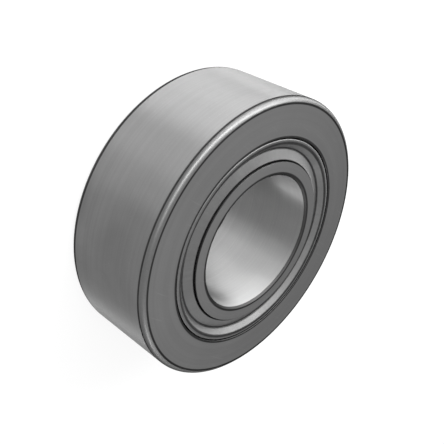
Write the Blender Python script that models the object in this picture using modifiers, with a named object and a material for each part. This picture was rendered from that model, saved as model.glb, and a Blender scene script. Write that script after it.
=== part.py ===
"""Shielded single-row cylindrical roller bearing, 25 x 52 x 18 mm, with a thick outer ring.

The bearing lies on its side face: its axis is +Z, the origin is the centre of the lower face, and
every value is in metres. The outer ring has a rib on both sides of its raceway and holds the two
pressed shields. The inner ring has one rib, on the lower side. Sixteen rollers run in the pockets
of a moulded cage between them.
"""

import math

import bmesh
import bpy
from mathutils import Matrix, Vector

# Boundary dimensions
BORE_DIAMETER = 0.025
OUTSIDE_DIAMETER = 0.052
WIDTH = 0.018
OUTER_CORNER_RADIUS = 0.001
BORE_CHAMFER = 0.0003
EDGE_BREAK = 0.00012

# Rollers, and the play that they run with
ROLLER_DIAMETER = 0.005
ROLLER_CORNER = 0.0003
ROLLER_RADIAL_PLAY = 0.00005
ROLLER_END_PLAY = 0.0001
LEAST_ROLLER_SPACING = 0.0018

# Raceways, ribs and the grinding relief at the foot of each rib
INNER_RING_WALL = 0.0025
INNER_RIB_HEIGHT = 0.001
OUTER_RIB_HEIGHT = 0.0015
OUTER_RIB_WIDTH = 0.00265
RELIEF_DEPTH = 0.00015
RELIEF_WIDTH = 0.0004

# Moulded cage
CAGE_RIB_CLEARANCE = 0.0004
CAGE_SHIELD_CLEARANCE = 0.0004
CAGE_EDGE_BREAK = 0.0002
POCKET_CLEARANCE = 0.00015

# Pressed steel shields, and the seats that hold them
SHIELD_THICKNESS = 0.0003
SHIELD_BEND_RADIUS = 0.0002
SHIELD_RECESS = 0.00005
SHIELD_FLANGE_WIDTH = 0.00088
SHIELD_VALLEY_DEPTH = 0.0011
SHIELD_LIP_DEPTH = 0.0003
SHIELD_LIP_GAP = 0.0002
SHIELD_SEAT_GAP = 0.00015
SHIELD_HOOK_DEPTH = 0.00075
SHIELD_HOOK_REACH = 0.0004
SEAT_SHOULDER = 0.00055

# How finely round shapes are divided
RING_SEGMENTS = 60
SHIELD_SEGMENTS = 48
ROLLER_SEGMENTS = 20
POCKET_SEGMENTS = 28
CORNER_STEPS = 3
BEND_STEP = math.radians(50)
MERGE_DISTANCE = 0.000001
SHARP_ANGLE = math.radians(30)

# Radii, from the bore outwards
BORE_RADIUS = BORE_DIAMETER / 2
OUTSIDE_RADIUS = OUTSIDE_DIAMETER / 2
ROLLER_RADIUS = ROLLER_DIAMETER / 2
INNER_RACEWAY_RADIUS = BORE_RADIUS + INNER_RING_WALL
INNER_RIB_RADIUS = INNER_RACEWAY_RADIUS + INNER_RIB_HEIGHT
PITCH_RADIUS = INNER_RACEWAY_RADIUS + ROLLER_RADIAL_PLAY + ROLLER_RADIUS
OUTER_RACEWAY_RADIUS = PITCH_RADIUS + ROLLER_RADIUS + ROLLER_RADIAL_PLAY
OUTER_RIB_RADIUS = OUTER_RACEWAY_RADIUS - OUTER_RIB_HEIGHT
SEAT_RADIUS = OUTER_RIB_RADIUS + SEAT_SHOULDER
SEAT_GROOVE_RADIUS = SEAT_RADIUS + SHIELD_HOOK_REACH
SHIELD_RADIUS = SEAT_RADIUS - SHIELD_SEAT_GAP

# Depths below a side face, and what they leave for the rollers
MIDDLE = WIDTH / 2
HOOK_TOP_DEPTH = SHIELD_RECESS + SHIELD_HOOK_DEPTH
SEAT_DEPTH = HOOK_TOP_DEPTH + SHIELD_THICKNESS + SHIELD_SEAT_GAP
RACEWAY_DEPTH = SEAT_DEPTH + OUTER_RIB_WIDTH
ROLLER_DEPTH = RACEWAY_DEPTH + ROLLER_END_PLAY
CAGE_DEPTH = SHIELD_RECESS + SHIELD_VALLEY_DEPTH + SHIELD_THICKNESS + CAGE_SHIELD_CLEARANCE
ROLLER_LENGTH = WIDTH - 2 * ROLLER_DEPTH

ROLLER_COUNT = int(math.tau * PITCH_RADIUS / (ROLLER_DIAMETER + LEAST_ROLLER_SPACING))


def clear_scene():
    """Removes whatever the scene holds before the bearing is modelled."""
    for obj in list(bpy.data.objects):
        bpy.data.objects.remove(obj)


def new_collection(name):
    """A collection under the scene's own."""
    collection = bpy.data.collections.new(name)
    bpy.context.scene.collection.children.link(collection)
    return collection


def new_material(name, colour, metallic, roughness):
    """A Principled material with one linear colour."""
    material = bpy.data.materials.new(name)
    material.use_nodes = True
    shader = material.node_tree.nodes["Principled BSDF"]
    shader.inputs["Base Color"].default_value = (*colour, 1.0)
    shader.inputs["Metallic"].default_value = metallic
    shader.inputs["Roughness"].default_value = roughness
    return material


def arc(centre, radius, start, end, steps):
    """Points on an arc of a section, from the start angle to the end angle in degrees."""
    angles = [math.radians(start + (end - start) * i / steps) for i in range(steps + 1)]
    return [
        (centre[0] + radius * math.cos(a), centre[1] + radius * math.sin(a)) for a in angles
    ]


def mirrored_at_middle(points):
    """The same stretch of a section on the other side of the bearing's middle plane."""
    return [(r, WIDTH - z) for r, z in reversed(points)]


def offset_path(points, distance):
    """A path beside an open one, to the left of its direction, with mitred corners."""
    path = [Vector(p) for p in points]
    along = [(b - a).normalized() for a, b in zip(path, path[1:])]
    left = [Vector((-d.y, d.x)) for d in along]
    moved = [path[0] + left[0] * distance]
    for corner, before, after in zip(path[1:-1], left, left[1:]):
        bisector = (before + after).normalized()
        moved.append(corner + bisector * (distance / bisector.dot(before)))
    moved.append(path[-1] + left[-1] * distance)
    return moved


def bend(corner, before, after, radius):
    """Points round a bend of the given radius, each with the sheet's direction there."""
    turn = before.angle_signed(after)
    steps = max(1, round(abs(turn) / BEND_STEP))
    side = Vector((-before.y, before.x)) * -math.copysign(radius, turn)
    centre = corner - before * radius * math.tan(abs(turn) / 2) + side
    stations = []
    for i in range(steps + 1):
        rotation = Matrix.Rotation(-turn * i / steps, 2)
        stations.append((centre - rotation @ side, rotation @ before))
    return stations


def sheet_section(middle, thickness, bend_radius):
    """The closed section of a folded sheet whose middle line is an open path of straight runs."""
    along = [(b - a).normalized() for a, b in zip(middle, middle[1:])]
    stations = [(middle[0], along[0])]
    for corner, before, after in zip(middle[1:-1], along, along[1:]):
        stations += bend(corner, before, after, bend_radius)
    stations.append((middle[-1], along[-1]))
    half = thickness / 2
    left = [p + Vector((-d.y, d.x)) * half for p, d in stations]
    right = [p - Vector((-d.y, d.x)) * half for p, d in stations]
    return [tuple(p) for p in left + right[::-1]]


def finished(obj):
    """Turns the object's modifiers into its mesh, smooth across shallow edges and sharp elsewhere."""
    bpy.context.view_layer.update()
    evaluated = obj.evaluated_get(bpy.context.evaluated_depsgraph_get())
    mesh = bpy.data.meshes.new_from_object(evaluated)
    obj.modifiers.clear()
    obj.data = mesh
    mesh.shade_smooth()
    mesh.set_sharp_from_angle(angle=SHARP_ANGLE)
    return obj


def turned(name, section, segments, material, collection):
    """A solid of revolution about Z. Its section is a closed loop that runs down the outer side."""
    mesh = bpy.data.meshes.new(name)
    loop = [(i, (i + 1) % len(section)) for i in range(len(section))]
    mesh.from_pydata([(r, 0.0, z) for r, z in section], loop, [])
    mesh.materials.append(material)
    obj = bpy.data.objects.new(name, mesh)
    collection.objects.link(obj)
    screw = obj.modifiers.new("turn", "SCREW")
    screw.steps = screw.render_steps = segments
    screw.use_merge_vertices = True
    screw.merge_threshold = MERGE_DISTANCE
    return obj


def outer_ring_half():
    """The lower half of the outer ring's section, from the outside surface round to the raceway."""
    corner = OUTER_CORNER_RADIUS
    outside = arc((OUTSIDE_RADIUS - corner, corner), corner, 0, -90, CORNER_STEPS)
    seat = [
        (SEAT_RADIUS + EDGE_BREAK, 0.0),
        (SEAT_RADIUS, EDGE_BREAK),
        (SEAT_RADIUS, HOOK_TOP_DEPTH - SHIELD_SEAT_GAP),
        (SEAT_GROOVE_RADIUS, HOOK_TOP_DEPTH - SHIELD_SEAT_GAP),
        (SEAT_GROOVE_RADIUS, SEAT_DEPTH),
    ]
    rib = [
        (OUTER_RIB_RADIUS + EDGE_BREAK, SEAT_DEPTH),
        (OUTER_RIB_RADIUS, SEAT_DEPTH + EDGE_BREAK),
        (OUTER_RIB_RADIUS, RACEWAY_DEPTH),
    ]
    relief = [
        (OUTER_RACEWAY_RADIUS + RELIEF_DEPTH, RACEWAY_DEPTH),
        (OUTER_RACEWAY_RADIUS + RELIEF_DEPTH, RACEWAY_DEPTH + RELIEF_WIDTH),
        (OUTER_RACEWAY_RADIUS, RACEWAY_DEPTH + RELIEF_WIDTH + RELIEF_DEPTH),
    ]
    return outside + seat + rib + relief


def make_outer_ring(material, collection):
    half = outer_ring_half()
    section = half + mirrored_at_middle(half)
    return finished(turned("outer_ring", section, RING_SEGMENTS, material, collection))


def make_inner_ring(material, collection):
    """The inner ring: a plain end above, and below it the rib that stops the rollers."""
    raceway = INNER_RACEWAY_RADIUS
    outside = [
        (raceway - EDGE_BREAK, WIDTH),
        (raceway, WIDTH - EDGE_BREAK),
        (raceway, RACEWAY_DEPTH + RELIEF_WIDTH + RELIEF_DEPTH),
        (raceway - RELIEF_DEPTH, RACEWAY_DEPTH + RELIEF_WIDTH),
        (raceway - RELIEF_DEPTH, RACEWAY_DEPTH),
    ]
    rib = [
        (INNER_RIB_RADIUS, RACEWAY_DEPTH),
        (INNER_RIB_RADIUS, CAGE_DEPTH + EDGE_BREAK),
        (INNER_RIB_RADIUS - EDGE_BREAK, CAGE_DEPTH),
    ]
    shield_land = [
        (raceway, CAGE_DEPTH),
        (raceway, EDGE_BREAK),
        (raceway - EDGE_BREAK, 0.0),
    ]
    bore = [
        (BORE_RADIUS + BORE_CHAMFER, 0.0),
        (BORE_RADIUS, BORE_CHAMFER),
        (BORE_RADIUS, WIDTH - BORE_CHAMFER),
        (BORE_RADIUS + BORE_CHAMFER, WIDTH),
    ]
    section = outside + rib + shield_land + bore
    return finished(turned("inner_ring", section, RING_SEGMENTS, material, collection))


def shield_section():
    """The shield's section with the bearing's face at height 0 and the bearing below it.

    The sheet hooks under the lip of its seat, comes up to a narrow flange level with the face,
    dives into a valley at 45 degrees and rises again to a lip just short of the inner ring.
    """
    flange_radius = SHIELD_RADIUS - SHIELD_FLANGE_WIDTH
    hook_tip_radius = SEAT_GROOVE_RADIUS - SHIELD_SEAT_GAP
    seen = [
        (INNER_RACEWAY_RADIUS + SHIELD_LIP_GAP, -SHIELD_RECESS - SHIELD_LIP_DEPTH),
        (flange_radius - SHIELD_VALLEY_DEPTH, -SHIELD_RECESS - SHIELD_VALLEY_DEPTH),
        (flange_radius, -SHIELD_RECESS),
        (SHIELD_RADIUS, -SHIELD_RECESS),
        (SHIELD_RADIUS, -HOOK_TOP_DEPTH),
        (hook_tip_radius, -HOOK_TOP_DEPTH),
    ]
    middle = offset_path(seen, -SHIELD_THICKNESS / 2)
    return sheet_section(middle, SHIELD_THICKNESS, SHIELD_BEND_RADIUS)


def make_shields(material, collection):
    """The upper shield, and the same pressing turned over in the lower seat."""
    front = turned("front_shield", shield_section(), SHIELD_SEGMENTS, material, collection)
    finished(front)
    front.location.z = WIDTH
    rear = bpy.data.objects.new("rear_shield", front.data)
    rear.rotation_euler.x = math.pi
    collection.objects.link(rear)
    return [front, rear]


def roller_angle(index):
    return math.tau * index / ROLLER_COUNT


def roller_place(index):
    angle = roller_angle(index)
    return Vector((PITCH_RADIUS * math.cos(angle), PITCH_RADIUS * math.sin(angle), MIDDLE))


def make_pocket_cutter(collection):
    """One closed cylinder for each pocket, a little larger than the roller that it clears."""
    shape = bmesh.new()
    for index in range(ROLLER_COUNT):
        made = bmesh.ops.create_cone(
            shape,
            cap_ends=True,
            segments=POCKET_SEGMENTS,
            radius1=ROLLER_RADIUS + POCKET_CLEARANCE,
            radius2=ROLLER_RADIUS + POCKET_CLEARANCE,
            depth=ROLLER_LENGTH + 2 * POCKET_CLEARANCE,
        )
        bmesh.ops.translate(shape, verts=made["verts"], vec=roller_place(index))
    mesh = bpy.data.meshes.new("pocket_cutter")
    shape.to_mesh(mesh)
    shape.free()
    cutter = bpy.data.objects.new("pocket_cutter", mesh)
    cutter.hide_render = True
    cutter.display_type = "WIRE"
    collection.objects.link(cutter)
    return cutter


def make_cage(material, collection, cutters):
    """The cage: a turned sleeve between the ribs, with a window moulded round each roller."""
    inside = INNER_RIB_RADIUS + CAGE_RIB_CLEARANCE
    outside = OUTER_RIB_RADIUS - CAGE_RIB_CLEARANCE
    half = [
        (outside, CAGE_DEPTH + CAGE_EDGE_BREAK),
        (outside - CAGE_EDGE_BREAK, CAGE_DEPTH),
        (inside + CAGE_EDGE_BREAK, CAGE_DEPTH),
        (inside, CAGE_DEPTH + CAGE_EDGE_BREAK),
    ]
    section = half + mirrored_at_middle(half)
    cage = turned("cage", section, RING_SEGMENTS, material, collection)
    pockets = cage.modifiers.new("pockets", "BOOLEAN")
    pockets.operation = "DIFFERENCE"
    pockets.solver = "EXACT"
    pockets.object = make_pocket_cutter(cutters)
    return finished(cage)


def make_rollers(material, collection, cage):
    """The rollers, each with its origin on its own axis, carried round by the cage."""
    half_length = ROLLER_LENGTH / 2
    section = [
        (0.0, half_length),
        (ROLLER_RADIUS - ROLLER_CORNER, half_length),
        (ROLLER_RADIUS, half_length - ROLLER_CORNER),
        (ROLLER_RADIUS, ROLLER_CORNER - half_length),
        (ROLLER_RADIUS - ROLLER_CORNER, -half_length),
        (0.0, -half_length),
    ]
    first = turned("roller_01", section, ROLLER_SEGMENTS, material, collection)
    finished(first)
    rollers = [first]
    for index in range(1, ROLLER_COUNT):
        roller = bpy.data.objects.new(f"roller_{index + 1:02d}", first.data)
        collection.objects.link(roller)
        rollers.append(roller)
    for index, roller in enumerate(rollers):
        roller.location = roller_place(index)
        roller.rotation_euler.z = roller_angle(index)
        roller.parent = cage
    return rollers


def main():
    clear_scene()
    bearing = new_collection("cylindrical_roller_bearing")
    cutters = new_collection("cutters")
    ring_steel = new_material("ground_bearing_steel", (0.33, 0.33, 0.335), 1.0, 0.34)
    sheet_steel = new_material("pressed_sheet_steel", (0.36, 0.36, 0.365), 1.0, 0.38)
    roller_steel = new_material("superfinished_roller_steel", (0.50, 0.50, 0.51), 1.0, 0.16)
    polyamide = new_material("glass_filled_polyamide", (0.020, 0.021, 0.022), 0.0, 0.55)
    centre = bpy.data.objects.new("bearing_axis", None)
    bearing.objects.link(centre)
    cage = make_cage(polyamide, bearing, cutters)
    held = [
        make_outer_ring(ring_steel, bearing),
        make_inner_ring(ring_steel, bearing),
        *make_shields(sheet_steel, bearing),
        cage,
    ]
    make_rollers(roller_steel, bearing, cage)
    for obj in held:
        obj.parent = centre


main()
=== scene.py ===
"""The looks of a shielded cylindrical roller bearing that lies on its side face.

Each ring, shield and roller is turned anew with true round corners, in the place and form of the
solid that it stands for, and gets the finish of its real surface. All lengths are in metres.
"""

import math
from typing import NamedTuple

import bmesh
import bpy
from mathutils import Matrix, Vector


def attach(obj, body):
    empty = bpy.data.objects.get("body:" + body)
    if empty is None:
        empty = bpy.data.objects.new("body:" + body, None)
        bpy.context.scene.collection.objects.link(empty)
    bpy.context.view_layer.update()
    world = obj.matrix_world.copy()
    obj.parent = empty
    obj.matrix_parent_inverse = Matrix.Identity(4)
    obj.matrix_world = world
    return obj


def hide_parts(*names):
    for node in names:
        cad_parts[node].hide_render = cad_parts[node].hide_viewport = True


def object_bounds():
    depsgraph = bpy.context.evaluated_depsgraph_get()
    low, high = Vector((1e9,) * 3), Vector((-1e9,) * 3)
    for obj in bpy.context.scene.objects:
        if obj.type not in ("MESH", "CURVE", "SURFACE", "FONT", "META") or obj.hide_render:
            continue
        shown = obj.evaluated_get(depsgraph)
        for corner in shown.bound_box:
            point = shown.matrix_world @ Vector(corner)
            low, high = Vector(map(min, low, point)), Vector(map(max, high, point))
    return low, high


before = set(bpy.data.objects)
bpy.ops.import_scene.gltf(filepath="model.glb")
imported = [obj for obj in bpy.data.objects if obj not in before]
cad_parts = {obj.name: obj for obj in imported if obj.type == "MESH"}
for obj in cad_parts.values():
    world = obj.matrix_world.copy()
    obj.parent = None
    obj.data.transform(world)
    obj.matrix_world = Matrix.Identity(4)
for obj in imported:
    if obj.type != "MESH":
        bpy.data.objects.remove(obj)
cad_low, cad_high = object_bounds()

MM = 0.001

# Rings
OUTSIDE_RADIUS = cad_high.x
WIDTH = cad_high.z
MIDDLE = WIDTH / 2
BORE_RADIUS = 12.5 * MM
INNER_RACEWAY_RADIUS = 15.0 * MM
INNER_RIB_RADIUS = 16.0 * MM
OUTER_RACEWAY_RADIUS = 20.1 * MM
OUTER_RIB_RADIUS = 18.6 * MM
SEAT_RADIUS = 19.15 * MM
SEAT_GROOVE_RADIUS = 19.55 * MM
SEAT_LIP_DEPTH = 0.65 * MM
SEAT_DEPTH = 1.25 * MM
RACEWAY_DEPTH = 3.9 * MM
INNER_RIB_DEPTH = 1.85 * MM
RELIEF_DEPTH = 0.15 * MM
RELIEF_WIDTH = 0.4 * MM
OUTER_CORNER_RADIUS = 1.0 * MM
BORE_CHAMFER = 0.3 * MM
EDGE_BREAK = 0.12 * MM
FINE_EDGE = 0.05 * MM

# Shields
SHIELD_THICKNESS = 0.3 * MM
SHIELD_BEND_RADIUS = 0.2 * MM
SHIELD_RADIUS = 19.0 * MM
SHIELD_FLANGE_RADIUS = 18.12 * MM
SHIELD_VALLEY_RADIUS = 17.02 * MM
SHIELD_LIP_RADIUS = 15.2 * MM
SHIELD_HOOK_RADIUS = 19.4 * MM
SHIELD_RECESS = 0.05 * MM
SHIELD_VALLEY_DEPTH = 1.15 * MM
SHIELD_LIP_DEPTH = 0.35 * MM
SHIELD_HOOK_DEPTH = 0.8 * MM

# Rollers
ROLLER_COUNT = 16
ROLLER_RADIUS = 2.5 * MM
ROLLER_LENGTH = 10.0 * MM
ROLLER_CORNER = 0.3 * MM
PITCH_RADIUS = 17.55 * MM

# How finely the pieces are divided
RING_STEPS = 240
ROLLER_STEPS = 64
ARC_STEP = math.radians(12)
MERGE_DISTANCE = 0.0001 * MM

# How far beside each arc of a section its flats get one more point
SUPPORT = 0.02 * MM

# How much a face may point up or down: 0 on an upright wall and 1 on a level face
UPRIGHT = 0.02
STEEP = 0.5
LEVEL = 0.9

# Marks on the steel. Scratches and grinding lines are drawn four to eight times as coarse as the
# real ones, which are finer than one pixel of the render. The painted shade lines along edges are
# as coarse.
LINE_LENGTH = 60 * MM
DRAW_MARK_LENGTH = 3 * MM
SCRATCH_WIDTH = 0.25 * MM
SCRATCH_LENGTH = 7 * MM
SCRATCH_TILT = math.radians(35.0)
SCRATCH_NOISE = (0.7, 0.78)
SCRATCH_GLEAM = 0.12
GRAIN_NOISE = (0.25, 0.75)
GRAIN_TONE = (0.95, 1.05)

# Painted shade lines along edges, gaps and creases: how far each kind reaches to either side, and
# their shade
BOLD_LINE = 0.34 * MM
EDGE_LINE = 0.24 * MM
FAINT_LINE = 0.13 * MM
LINE_SHADE = 0.75

# The film of dried rust-proofing oil: its clouds, how they stain the steel, and how much
# rougher and smoother than bare steel they are
OIL_CLOUD = 9 * MM
OIL_NOISE = (0.3, 0.7)
OIL_TONE = (0.95, 1.04)
OIL_ROUGHER = 0.04
OIL_SMOOTHER = 0.03

# Glass fibres in the cage's plastic, drawn five times as wide as real ones
FIBRE_LENGTH = 0.6 * MM
FIBRE_WIDTH = 0.06 * MM
FIBRE_NOISE = (0.58, 0.75)
MOULD_GRAIN = 0.12 * MM
MOULD_GRAIN_NOISE = (0.3, 0.7)
MOULD_ROUGHNESS = (0.42, 0.58)

# Studio
FLOOR_SIZE = 40.0
FLOOR_GAP = 0.02 * MM
FLOOR_WHITE_SHARE = 0.85
SKY_LEVEL = 0.5
LAMP_DISTANCE = 0.45

# The photo's camera. Blender takes the lens and the sensor in millimetres.
CAMERA_DISTANCE = 123.95 * MM
CAMERA_ELEVATION = math.radians(35.1)
CAMERA_ROLL = math.radians(120.0)
CAMERA_LENS = 55.9
SENSOR_WIDTH = 36.0
NEAREST_SEEN = 10 * MM
FURTHEST_SEEN = 100.0


class Spot(NamedTuple):
    """What a material knows of a point on its piece, as sockets of its nodes."""

    place: bpy.types.NodeSocket
    out: bpy.types.NodeSocket
    radius: bpy.types.NodeSocket
    height: bpy.types.NodeSocket


def linear(colour):
    """An sRGB hex colour as linear red, green, blue and alpha."""
    channels = [int(colour[i : i + 2], 16) / 255 for i in (0, 2, 4)]
    return (*[c / 12.92 if c <= 0.04045 else ((c + 0.055) / 1.055) ** 2.4 for c in channels], 1.0)


def rounded(corners):
    """A section whose corners (radius, height, fillet) are rounded with true arcs.

    A point just outside each end of an arc keeps the flats beside it flat when shaded smooth. A
    corner on the axis is an end of the section and stays as it is.
    """
    points = []
    count = len(corners)
    for i, (r, z, fillet) in enumerate(corners):
        here = Vector((r, z))
        if r == 0.0:
            points.append(here)
            continue
        before = (here - Vector(corners[i - 1][:2])).normalized()
        after = (Vector(corners[(i + 1) % count][:2]) - here).normalized()
        turn = before.angle_signed(after)
        tangent = fillet * math.tan(abs(turn) / 2)
        side = Vector((-before.y, before.x)) * -math.copysign(fillet, turn)
        centre = here - before * tangent + side
        steps = max(1, math.ceil(abs(turn) / ARC_STEP))
        points.append(here - before * (tangent + SUPPORT))
        for step in range(steps + 1):
            points.append(centre - Matrix.Rotation(-turn * step / steps, 2) @ side)
        points.append(here + after * (tangent + SUPPORT))
    return points


def at_both_faces(half):
    """The lower half of a section with the same corners at the upper face."""
    return half + [(r, WIDTH - z, fillet) for r, z, fillet in reversed(half)]


def linked(name, data):
    """A new object of the scene that shows the mesh, lamp or camera."""
    made = bpy.data.objects.new(name, data)
    bpy.context.scene.collection.objects.link(made)
    return made


def turned(name, section, steps):
    """A mesh turned about Z from its section, a closed loop unless it ends on the axis."""
    shape = bmesh.new()
    line = [shape.verts.new((r, 0.0, z)) for r, z in section]
    pairs = list(zip(line, line[1:]))
    if section[0][0] > 0.0:
        pairs.append((line[-1], line[0]))
    edges = [shape.edges.new(pair) for pair in pairs]
    bmesh.ops.spin(
        shape,
        geom=line + edges,
        cent=(0.0, 0.0, 0.0),
        axis=(0.0, 0.0, 1.0),
        angle=math.tau,
        steps=steps,
        use_merge=True,
    )
    bmesh.ops.remove_doubles(shape, verts=shape.verts, dist=MERGE_DISTANCE)
    bmesh.ops.recalc_face_normals(shape, faces=shape.faces)
    for face in shape.faces:
        face.smooth = True
    mesh = bpy.data.meshes.new(name)
    shape.to_mesh(mesh)
    shape.free()
    return mesh


def stand_in(piece, body, node):
    """Shows the piece in place of its solid, on the solid's body and with its finish."""
    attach(piece, body)
    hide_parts(node)


def finish_faces(mesh, finishes):
    """Gives each face the first finish whose test its radius, height and upward slope pass."""
    for material, _ in finishes:
        mesh.materials.append(material)
    for face in mesh.polygons:
        radius = math.hypot(face.center.x, face.center.y)
        slope = abs(face.normal.z)
        for index, (_, test) in enumerate(finishes):
            if test(radius, face.center.z, slope):
                face.material_index = index
                break


def on_raceway(radius, height, slope):
    """Whether a face of either ring is part of its raceway, where the rollers run."""
    return slope < UPRIGHT and abs(height - MIDDLE) < ROLLER_LENGTH / 2


def add(tree, kind, settings=None, **inputs):
    """Adds a node with its settings. Each input is a value, or the socket that feeds it."""
    made = tree.nodes.new(kind)
    for name, value in (settings or {}).items():
        setattr(made, name, value)
    for name, value in inputs.items():
        key = int(name[1:]) if name[0] == "_" else name.replace("_", " ")
        socket = made.inputs[key]
        if isinstance(value, bpy.types.NodeSocket):
            tree.links.new(value, socket)
        else:
            socket.default_value = value
    return made


def new_material(name):
    """A material and its empty node tree."""
    material = bpy.data.materials.new(name)
    material.use_nodes = True
    material.node_tree.nodes.clear()
    return material, material.node_tree


def measures(tree):
    """The place on the piece, the way out from the bearing's axis, the radius and the height."""
    place = add(tree, "ShaderNodeTexCoord").outputs["Object"]
    parts = add(tree, "ShaderNodeSeparateXYZ", Vector=place)
    out = add(tree, "ShaderNodeCombineXYZ", X=parts.outputs["X"], Y=parts.outputs["Y"])
    radius = add(tree, "ShaderNodeVectorMath", {"operation": "LENGTH"}, _0=out.outputs[0])
    return Spot(place, out.outputs[0], radius.outputs["Value"], parts.outputs["Z"])


def round_lines(tree, spot, spacing):
    """Lines that run round the axis, as a grinding wheel or a turning tool leaves them."""
    across = add(tree, "ShaderNodeMath", {"operation": "ADD"}, _0=spot.radius, _1=spot.height)
    count = add(tree, "ShaderNodeMath", {"operation": "DIVIDE"}, _0=across.outputs[0], _1=spacing)
    rise = add(tree, "ShaderNodeCombineXYZ", Z=count.outputs[0])
    stretched = add(
        tree,
        "ShaderNodeVectorMath",
        {"operation": "MULTIPLY_ADD"},
        _0=spot.out,
        _1=(1 / LINE_LENGTH, 1 / LINE_LENGTH, 0.0),
        _2=rise.outputs[0],
    )
    return add(tree, "ShaderNodeTexNoise", Vector=stretched.outputs[0], Scale=1.0, Detail=3.0)


def radial_marks(tree, spot, spacing):
    """Marks that run in and out, as sheet slides over the press tool."""
    way = add(tree, "ShaderNodeVectorMath", {"operation": "NORMALIZE"}, _0=spot.out)
    along = add(
        tree, "ShaderNodeMath", {"operation": "DIVIDE"}, _0=spot.radius, _1=DRAW_MARK_LENGTH
    )
    rise = add(tree, "ShaderNodeCombineXYZ", Z=along.outputs[0])
    marks_round = SHIELD_RADIUS / spacing
    stretched = add(
        tree,
        "ShaderNodeVectorMath",
        {"operation": "MULTIPLY_ADD"},
        _0=way.outputs[0],
        _1=(marks_round, marks_round, 0.0),
        _2=rise.outputs[0],
    )
    return add(tree, "ShaderNodeTexNoise", Vector=stretched.outputs[0], Scale=1.0, Detail=2.0)


def even_grain(tree, spot, spacing):
    """A grain with no direction, as tumbling, superfinishing or shearing leaves it."""
    return add(tree, "ShaderNodeTexNoise", Vector=spot.place, Scale=1 / spacing, Detail=3.0)


def handling_marks(tree, place, turn):
    """A few short hair-fine scratches that lie one way, where parts rubbed in their box."""
    along = add(
        tree,
        "ShaderNodeMapping",
        Vector=place,
        Rotation=(math.radians(turn), SCRATCH_TILT, math.radians(2 * turn)),
        Scale=(1 / SCRATCH_WIDTH, 1 / SCRATCH_LENGTH, 1 / SCRATCH_WIDTH),
    ).outputs[0]
    hairs = add(tree, "ShaderNodeTexNoise", Vector=along, Scale=1.0, Detail=1.0).outputs["Fac"]
    start, full = SCRATCH_NOISE
    marks = add(tree, "ShaderNodeMapRange", Value=hairs, From_Min=start, From_Max=full)
    return marks.outputs["Result"]


def painted_shade_lines(tree, spot, edges):
    """Painted shade: fine dark lines along edges, gaps and creases, each of them at a radius or a
    height.

    A line is dark over half of its reach to either side and fades out over the rest.
    """
    shade = 0.0
    for measure, edge, reach in edges:
        distance = spot.radius if measure == "radius" else spot.height
        off = add(tree, "ShaderNodeMath", {"operation": "SUBTRACT"}, _0=distance, _1=edge)
        away = add(tree, "ShaderNodeMath", {"operation": "ABSOLUTE"}, _0=off.outputs[0])
        line = add(
            tree,
            "ShaderNodeMapRange",
            {"interpolation_type": "SMOOTHSTEP"},
            Value=away.outputs[0],
            From_Min=reach / 2,
            From_Max=reach,
            To_Min=LINE_SHADE,
            To_Max=0.0,
        ).outputs["Result"]
        shade = add(tree, "ShaderNodeMath", {"operation": "MAXIMUM"}, _0=line, _1=shade).outputs[0]
    return shade


def steel(name, colour, roughness, anisotropy, lay, spacing, depth, edges=(), grazing="909090"):
    """Bare steel with the fine relief that its making left, its lay.

    The lay's lines draw the highlights out across them. The rust-proofing oil dries in thin
    clouds, which change the gloss a little and stain the metal slightly. What the steel
    mirrors at a flat angle takes the grazing tint.
    """
    material, tree = new_material(name)
    spot = measures(tree)
    relief = lay(tree, spot, spacing).outputs["Fac"]
    clouds = add(
        tree,
        "ShaderNodeTexNoise",
        Vector=spot.place,
        Scale=1 / OIL_CLOUD,
        Detail=4.0,
        Distortion=0.4,
    ).outputs["Fac"]
    stain = add(
        tree,
        "ShaderNodeMapRange",
        Value=clouds,
        From_Min=OIL_NOISE[0],
        From_Max=OIL_NOISE[1],
        To_Min=OIL_TONE[0],
        To_Max=OIL_TONE[1],
    ).outputs["Result"]
    grain = add(
        tree,
        "ShaderNodeMapRange",
        Value=relief,
        From_Min=GRAIN_NOISE[0],
        From_Max=GRAIN_NOISE[1],
        To_Min=GRAIN_TONE[0],
        To_Max=GRAIN_TONE[1],
    ).outputs["Result"]
    film = add(
        tree,
        "ShaderNodeMapRange",
        Value=clouds,
        From_Min=OIL_NOISE[0],
        From_Max=OIL_NOISE[1],
        To_Min=roughness + OIL_ROUGHER,
        To_Max=roughness - OIL_SMOOTHER,
    ).outputs["Result"]
    scratches = add(
        tree,
        "ShaderNodeMath",
        {"operation": "MAXIMUM"},
        _0=handling_marks(tree, spot.place, turn=20.0),
        _1=handling_marks(tree, spot.place, turn=70.0),
    ).outputs[0]
    mottle = add(tree, "ShaderNodeMath", {"operation": "MULTIPLY"}, _0=stain, _1=grain).outputs[0]
    scratched = add(
        tree,
        "ShaderNodeMath",
        {"operation": "MULTIPLY_ADD"},
        _0=scratches,
        _1=SCRATCH_GLEAM,
        _2=mottle,
    ).outputs[0]
    # Painted shade: the dark lines along edges, gaps and creases are taken off the colour
    lined = add(
        tree,
        "ShaderNodeMath",
        {"operation": "SUBTRACT"},
        _0=scratched,
        _1=painted_shade_lines(tree, spot, edges),
    ).outputs[0]
    tone = add(
        tree, "ShaderNodeVectorMath", {"operation": "SCALE"}, _0=linear(colour)[:3], Scale=lined
    ).outputs[0]
    bump = add(tree, "ShaderNodeBump", Height=relief, Strength=1.0, Distance=depth)
    # The tangent runs round the axis, and a quarter turn lays the glint across round lines
    tangent = add(tree, "ShaderNodeTangent", {"direction_type": "RADIAL", "axis": "Z"})
    glint_turn = 0.25 if lay is round_lines else 0.0
    shader = add(
        tree,
        "ShaderNodeBsdfPrincipled",
        Base_Color=tone,
        Metallic=1.0,
        Roughness=film,
        Specular_Tint=linear(grazing),
        Anisotropic=anisotropy,
        Anisotropic_Rotation=glint_turn,
        Normal=bump.outputs["Normal"],
        Tangent=tangent.outputs["Tangent"],
    )
    add(tree, "ShaderNodeOutputMaterial", Surface=shader.outputs["BSDF"])
    return material


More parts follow.
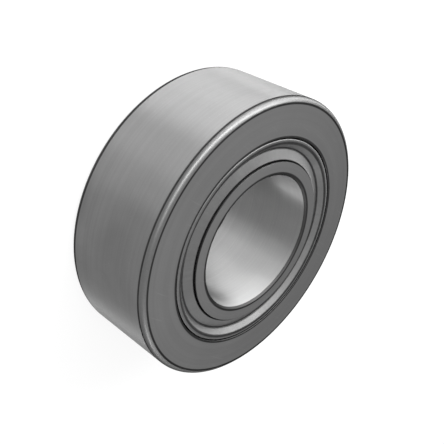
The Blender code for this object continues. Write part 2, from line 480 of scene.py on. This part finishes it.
def moulded_polyamide():
    """Dark polyamide filled with glass fibres, which show as pale flecks in its matt skin."""
    material, tree = new_material("moulded_glass_filled_polyamide")
    place = add(tree, "ShaderNodeTexCoord").outputs["Object"]
    flow = add(
        tree,
        "ShaderNodeMapping",
        Vector=place,
        Scale=(1 / FIBRE_WIDTH, 1 / FIBRE_WIDTH, 1 / FIBRE_LENGTH),
    )
    fibres = add(tree, "ShaderNodeTexNoise", Vector=flow.outputs[0], Scale=1.0, Detail=1.0)
    flecks = add(
        tree,
        "ShaderNodeMapRange",
        Value=fibres.outputs["Fac"],
        From_Min=FIBRE_NOISE[0],
        From_Max=FIBRE_NOISE[1],
    ).outputs["Result"]
    colour = add(
        tree,
        "ShaderNodeMix",
        {"data_type": "RGBA"},
        _0=flecks,
        _6=linear("2c2e30"),
        _7=linear("4a4c4e"),
    ).outputs[2]
    grain = add(
        tree, "ShaderNodeTexNoise", Vector=place, Scale=1 / MOULD_GRAIN, Detail=2.0
    ).outputs["Fac"]
    roughness = add(
        tree,
        "ShaderNodeMapRange",
        Value=grain,
        From_Min=MOULD_GRAIN_NOISE[0],
        From_Max=MOULD_GRAIN_NOISE[1],
        To_Min=MOULD_ROUGHNESS[0],
        To_Max=MOULD_ROUGHNESS[1],
    ).outputs["Result"]
    bump = add(tree, "ShaderNodeBump", Height=grain, Strength=1.0, Distance=0.004 * MM)
    shader = add(
        tree,
        "ShaderNodeBsdfPrincipled",
        Base_Color=colour,
        Roughness=roughness,
        IOR=1.53,
        Normal=bump.outputs["Normal"],
    )
    add(tree, "ShaderNodeOutputMaterial", Surface=shader.outputs["BSDF"])
    return material


def outer_ring_section():
    half = [
        (OUTSIDE_RADIUS, 0.0, OUTER_CORNER_RADIUS),
        (SEAT_RADIUS, 0.0, EDGE_BREAK),
        (SEAT_RADIUS, SEAT_LIP_DEPTH, FINE_EDGE),
        (SEAT_GROOVE_RADIUS, SEAT_LIP_DEPTH, FINE_EDGE),
        (SEAT_GROOVE_RADIUS, SEAT_DEPTH, FINE_EDGE),
        (OUTER_RIB_RADIUS, SEAT_DEPTH, EDGE_BREAK),
        (OUTER_RIB_RADIUS, RACEWAY_DEPTH, FINE_EDGE),
        (OUTER_RACEWAY_RADIUS + RELIEF_DEPTH, RACEWAY_DEPTH, FINE_EDGE),
        (OUTER_RACEWAY_RADIUS + RELIEF_DEPTH, RACEWAY_DEPTH + RELIEF_WIDTH, FINE_EDGE),
        (OUTER_RACEWAY_RADIUS, RACEWAY_DEPTH + RELIEF_WIDTH + RELIEF_DEPTH, FINE_EDGE),
    ]
    return rounded(at_both_faces(half))


def inner_ring_section():
    """The inner ring has its one rib on the lower side."""
    corners = [
        (INNER_RACEWAY_RADIUS, WIDTH, EDGE_BREAK),
        (INNER_RACEWAY_RADIUS, RACEWAY_DEPTH + RELIEF_WIDTH + RELIEF_DEPTH, FINE_EDGE),
        (INNER_RACEWAY_RADIUS - RELIEF_DEPTH, RACEWAY_DEPTH + RELIEF_WIDTH, FINE_EDGE),
        (INNER_RACEWAY_RADIUS - RELIEF_DEPTH, RACEWAY_DEPTH, FINE_EDGE),
        (INNER_RIB_RADIUS, RACEWAY_DEPTH, EDGE_BREAK),
        (INNER_RIB_RADIUS, INNER_RIB_DEPTH, EDGE_BREAK),
        (INNER_RACEWAY_RADIUS, INNER_RIB_DEPTH, FINE_EDGE),
        (INNER_RACEWAY_RADIUS, 0.0, EDGE_BREAK),
        (BORE_RADIUS + BORE_CHAMFER, 0.0, FINE_EDGE),
        (BORE_RADIUS, BORE_CHAMFER, FINE_EDGE),
        (BORE_RADIUS, WIDTH - BORE_CHAMFER, FINE_EDGE),
        (BORE_RADIUS + BORE_CHAMFER, WIDTH, FINE_EDGE),
    ]
    return rounded(corners)


def beside(path, distance):
    """The corners beside a path of (radius, height), each filleted to suit the sheet's bend."""
    points = [Vector(p) for p in path]
    along = [(b - a).normalized() for a, b in zip(points, points[1:])]
    left = [Vector((-d.y, d.x)) for d in along]
    corners = [(*(points[0] + left[0] * distance), FINE_EDGE)]
    for i, point in enumerate(points[1:-1]):
        bisector = (left[i] + left[i + 1]).normalized()
        corner = point + bisector * (distance / bisector.dot(left[i]))
        outside = along[i].angle_signed(along[i + 1]) * distance > 0
        fillet = SHIELD_BEND_RADIUS + (abs(distance) if outside else -abs(distance))
        corners.append((*corner, fillet))
    corners.append((*(points[-1] + left[-1] * distance), FINE_EDGE))
    return corners


def shield_section():
    """The sheet's section as the front shield lies, its seen side up and level with the face."""
    seen = [
        (SHIELD_LIP_RADIUS, WIDTH - SHIELD_LIP_DEPTH),
        (SHIELD_VALLEY_RADIUS, WIDTH - SHIELD_VALLEY_DEPTH),
        (SHIELD_FLANGE_RADIUS, WIDTH - SHIELD_RECESS),
        (SHIELD_RADIUS, WIDTH - SHIELD_RECESS),
        (SHIELD_RADIUS, WIDTH - SHIELD_HOOK_DEPTH),
        (SHIELD_HOOK_RADIUS, WIDTH - SHIELD_HOOK_DEPTH),
    ]
    half = SHIELD_THICKNESS / 2
    middle = [corner[:2] for corner in beside(seen, -half)]
    return rounded(beside(middle, half) + beside(middle, -half)[::-1])


def roller_section():
    half = ROLLER_LENGTH / 2
    corners = [
        (0.0, half, 0.0),
        (ROLLER_RADIUS, half, ROLLER_CORNER),
        (ROLLER_RADIUS, -half, ROLLER_CORNER),
        (0.0, -half, 0.0),
    ]
    return rounded(corners)


def make_rings():
    corner_start = OUTSIDE_RADIUS - OUTER_CORNER_RADIUS
    # Painted shade lines along the corners' edges, the seat's gap and the bore's chamfer
    corner_edges = [
        ("radius", corner_start, EDGE_LINE),
        ("height", OUTER_CORNER_RADIUS, EDGE_LINE),
        ("height", WIDTH - OUTER_CORNER_RADIUS, EDGE_LINE),
    ]
    face_edges = [
        ("radius", corner_start, EDGE_LINE),
        ("radius", SEAT_RADIUS + EDGE_BREAK, BOLD_LINE),
        ("radius", BORE_RADIUS + BORE_CHAMFER + EDGE_LINE / 2, BOLD_LINE),
    ]
    bore_edges = [
        ("height", BORE_CHAMFER, FAINT_LINE),
        ("height", WIDTH - BORE_CHAMFER, FAINT_LINE),
    ]

    # Rings roll between two wheels to be ground outside: the lines run round and the glint along
    outside = steel(
        "centreless_ground_steel",
        colour="808080",
        roughness=0.46,
        anisotropy=1.0,
        lay=round_lines,
        spacing=0.35 * MM,
        depth=0.0009 * MM,
        edges=corner_edges,
    )
    # The corners keep their turned skin, which tumbling has made softly bright
    corner = steel(
        "tumbled_turned_steel",
        colour="656565",
        roughness=0.4,
        anisotropy=0.0,
        lay=even_grain,
        spacing=0.4 * MM,
        depth=0.001 * MM,
        edges=corner_edges,
    )
    # Side faces are ground flat between discs: an even grey with faint lines round it
    side = steel(
        "disc_ground_steel",
        colour="737373",
        roughness=0.34,
        anisotropy=0.0,
        lay=round_lines,
        spacing=0.5 * MM,
        depth=0.0006 * MM,
        edges=face_edges,
    )
    # The bore is ground by a small fast wheel, which leaves it softer in its glint; its paler
    # colour is painted light that brightens the deep bore
    bore = steel(
        "internally_ground_steel",
        colour="9e9e9e",
        roughness=0.6,
        anisotropy=1.0,
        lay=round_lines,
        spacing=0.35 * MM,
        depth=0.0009 * MM,
        edges=bore_edges,
        grazing="ffffff",
    )
    # Raceways are ground and then stoned until they mirror the rollers
    raceway = steel(
        "superfinished_raceway_steel",
        colour="a0a0a0",
        roughness=0.2,
        anisotropy=0.3,
        lay=round_lines,
        spacing=0.3 * MM,
        depth=0.0004 * MM,
    )
    # Grooves, ribs and chamfers are only turned before hardening and keep its dark heat skin
    turned_skin = steel(
        "heat_darkened_turned_steel",
        colour="3c3c3c",
        roughness=0.5,
        anisotropy=0.3,
        lay=round_lines,
        spacing=0.3 * MM,
        depth=0.002 * MM,
    )

    outer_mesh = turned("outer_ring_turned", outer_ring_section(), RING_STEPS)
    finish_faces(
        outer_mesh,
        [
            (outside, lambda r, z, slope: r > OUTSIDE_RADIUS - SUPPORT and slope < UPRIGHT),
            (corner, lambda r, z, slope: r > corner_start),
            (side, lambda r, z, slope: min(z, WIDTH - z) < FINE_EDGE),
            (raceway, on_raceway),
            (turned_skin, lambda r, z, slope: True),
        ],
    )
    stand_in(linked("outer_ring_turned", outer_mesh), "outer", "outer_ring")

    inner_mesh = turned("inner_ring_turned", inner_ring_section(), RING_STEPS)
    finish_faces(
        inner_mesh,
        [
            (bore, lambda r, z, slope: r < BORE_RADIUS + FINE_EDGE and slope < UPRIGHT),
            (side, lambda r, z, slope: slope > LEVEL and min(z, WIDTH - z) < FINE_EDGE),
            (raceway, on_raceway),
            (turned_skin, lambda r, z, slope: True),
        ],
    )
    stand_in(linked("inner_ring_turned", inner_mesh), "inner", "inner_ring")


def make_shields():
    """The front shield, and the same pressing turned over in the rear seat."""
    # Painted shade lines along the sheet's bend, its valley, its rim and its lip
    bends = [
        ("radius", SHIELD_FLANGE_RADIUS + SHIELD_BEND_RADIUS / 2, BOLD_LINE),
        ("radius", SHIELD_VALLEY_RADIUS, EDGE_LINE),
        ("radius", SHIELD_RADIUS, FAINT_LINE),
        ("radius", SHIELD_LIP_RADIUS, FAINT_LINE),
    ]
    # Cold-rolled strip takes faint marks, in and out, as the press draws it over its tool
    strip = steel(
        "pressed_cold_rolled_steel",
        colour="595959",
        roughness=0.5,
        anisotropy=0.6,
        lay=radial_marks,
        spacing=0.6 * MM,
        depth=0.001 * MM,
        edges=bends,
        grazing="ffffff",
    )
    # A sheared edge breaks off dull and rough
    cut = steel(
        "sheared_steel_edge",
        colour="4a4a4a",
        roughness=0.5,
        anisotropy=0.0,
        lay=even_grain,
        spacing=0.1 * MM,
        depth=0.004 * MM,
    )
    front_mesh = turned("front_shield_pressed", shield_section(), RING_STEPS)
    lip_edge = SHIELD_LIP_RADIUS + FINE_EDGE
    finish_faces(
        front_mesh,
        [
            (cut, lambda r, z, slope: r < lip_edge and slope < STEEP),
            (strip, lambda r, z, slope: True),
        ],
    )
    rear_mesh = front_mesh.copy()
    rear_mesh.transform(Matrix.Translation((0.0, 0.0, WIDTH)) @ Matrix.Rotation(math.pi, 4, "X"))
    for side, mesh in (("front", front_mesh), ("rear", rear_mesh)):
        shield = linked(f"{side}_shield_pressed", mesh)
        stand_in(shield, "outer", f"{side}_shield")


def make_rollers():
    # Rollers are stoned all over to a near mirror
    finish = steel(
        "superfinished_roller_steel",
        colour="b4b4b4",
        roughness=0.15,
        anisotropy=0.0,
        lay=even_grain,
        spacing=0.3 * MM,
        depth=0.0003 * MM,
    )
    pattern = turned("roller", roller_section(), ROLLER_STEPS)
    finish_faces(pattern, [(finish, lambda r, z, slope: True)])
    for index in range(ROLLER_COUNT):
        node = f"roller_{index + 1:02d}"
        angle = math.tau * index / ROLLER_COUNT
        place = (PITCH_RADIUS * math.cos(angle), PITCH_RADIUS * math.sin(angle), MIDDLE)
        mesh = pattern.copy()
        mesh.transform(Matrix.Translation(place) @ Matrix.Rotation(angle, 4, "Z"))
        stand_in(linked(f"{node}_ground", mesh), node, node)
    bpy.data.meshes.remove(pattern)


def make_cage():
    """The cage keeps its solid, whose windows and edges are those of the real moulding."""
    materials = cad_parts["cage"].data.materials
    materials.clear()
    materials.append(moulded_polyamide())


def sees_background(tree):
    """1 for a ray from the camera, a reflection or a clear body, and 0 for any other."""
    path = add(tree, "ShaderNodeLightPath")
    straight = add(
        tree,
        "ShaderNodeMath",
        {"operation": "MAXIMUM"},
        _0=path.outputs["Is Camera Ray"],
        _1=path.outputs["Is Glossy Ray"],
    )
    either = add(
        tree,
        "ShaderNodeMath",
        {"operation": "MAXIMUM"},
        _0=straight.outputs[0],
        _1=path.outputs["Is Transmission Ray"],
    )
    return either.outputs[0]


def make_stage():
    """A pale floor and a sky that show white, while the floor keeps a little of its shadow."""
    shape = bmesh.new()
    bmesh.ops.create_grid(shape, x_segments=1, y_segments=1, size=FLOOR_SIZE / 2)
    bmesh.ops.translate(shape, verts=shape.verts, vec=(0.0, 0.0, -FLOOR_GAP))
    mesh = bpy.data.meshes.new("floor")
    shape.to_mesh(mesh)
    shape.free()
    linked("floor", mesh)

    material, tree = new_material("painted_studio_floor")
    share = add(
        tree,
        "ShaderNodeMath",
        {"operation": "MULTIPLY"},
        _0=sees_background(tree),
        _1=FLOOR_WHITE_SHARE,
    )
    matt = add(tree, "ShaderNodeBsdfDiffuse", Color=linear("f2f2f2"))
    white = add(tree, "ShaderNodeEmission", Color=linear("ffffff"), Strength=1.0)
    mixed = add(
        tree, "ShaderNodeMixShader", _0=share.outputs[0], _1=matt.outputs[0], _2=white.outputs[0]
    )
    add(tree, "ShaderNodeOutputMaterial", Surface=mixed.outputs[0])
    mesh.materials.append(material)

    world = bpy.data.worlds.new("studio")
    bpy.context.scene.world = world
    world.use_nodes = True
    world.node_tree.nodes.clear()
    level = add(
        world.node_tree,
        "ShaderNodeMapRange",
        Value=sees_background(world.node_tree),
        To_Min=SKY_LEVEL,
        To_Max=1.0,
    )
    sky = add(
        world.node_tree,
        "ShaderNodeBackground",
        Color=linear("ffffff"),
        Strength=level.outputs["Result"],
    )
    add(world.node_tree, "ShaderNodeOutputWorld", Surface=sky.outputs[0])


def softbox(name, azimuth, elevation, width, height, brightness):
    """A lamp that faces the bearing, its angles in degrees and its size in metres.

    Azimuth 0 is on the camera's side and grows towards +X. The brightness is that of the
    lamp's face, so a larger lamp gives more light.
    """
    turn, rise = math.radians(azimuth), math.radians(elevation)
    level = Vector((math.sin(turn), -math.cos(turn), 0.0))
    away = level * math.cos(rise) + Vector((0.0, 0.0, math.sin(rise)))
    light = bpy.data.lights.new(name, "AREA")
    light.shape = "RECTANGLE"
    light.size = width
    light.size_y = height
    light.energy = brightness * math.pi * width * height
    lamp = linked(name, light)
    lamp.location = Vector((0.0, 0.0, MIDDLE)) + away * LAMP_DISTANCE
    lamp.rotation_euler = away.to_track_quat("Z", "Y").to_euler()
    lamp.visible_camera = False


def make_lights():
    softbox("left_softbox", -94, 45, 0.45, 0.1, 14.0)
    softbox("front_softbox", -36, 43, 0.34, 0.1, 14.2)
    softbox("front_fill_softbox", 5, 45, 0.17, 0.1, 7.0)
    softbox("middle_left_softbox", -95, 29, 0.36, 0.14, 4.6)
    softbox("low_left_softbox", -121, 8, 0.38, 0.12, 10.8)
    softbox("low_front_softbox", -66, 9, 0.46, 0.12, 6.0)
    softbox("right_softbox", 125, 30, 0.3, 0.12, 3.0)
    softbox("right_highlight", 113, 22, 0.06, 0.06, 15.0)


def make_camera():
    camera = bpy.data.cameras.new("photo_camera")
    camera.sensor_width = SENSOR_WIDTH
    camera.lens = CAMERA_LENS
    camera.clip_start = NEAREST_SEEN
    camera.clip_end = FURTHEST_SEEN
    rig = linked("photo_camera", camera)
    back = Vector((0.0, -math.cos(CAMERA_ELEVATION), math.sin(CAMERA_ELEVATION)))
    rig.location = Vector((0.0, 0.0, MIDDLE)) + back * CAMERA_DISTANCE
    facing = back.to_track_quat("Z", "Y").to_matrix()
    rig.rotation_euler = (facing @ Matrix.Rotation(CAMERA_ROLL, 3, "Z")).to_euler()
    bpy.context.scene.camera = rig


make_rings()
make_shields()
make_rollers()
make_cage()
make_stage()
make_lights()
make_camera()
bpy.context.scene.view_settings.view_transform = "Standard"

bpy.context.view_layer.update()
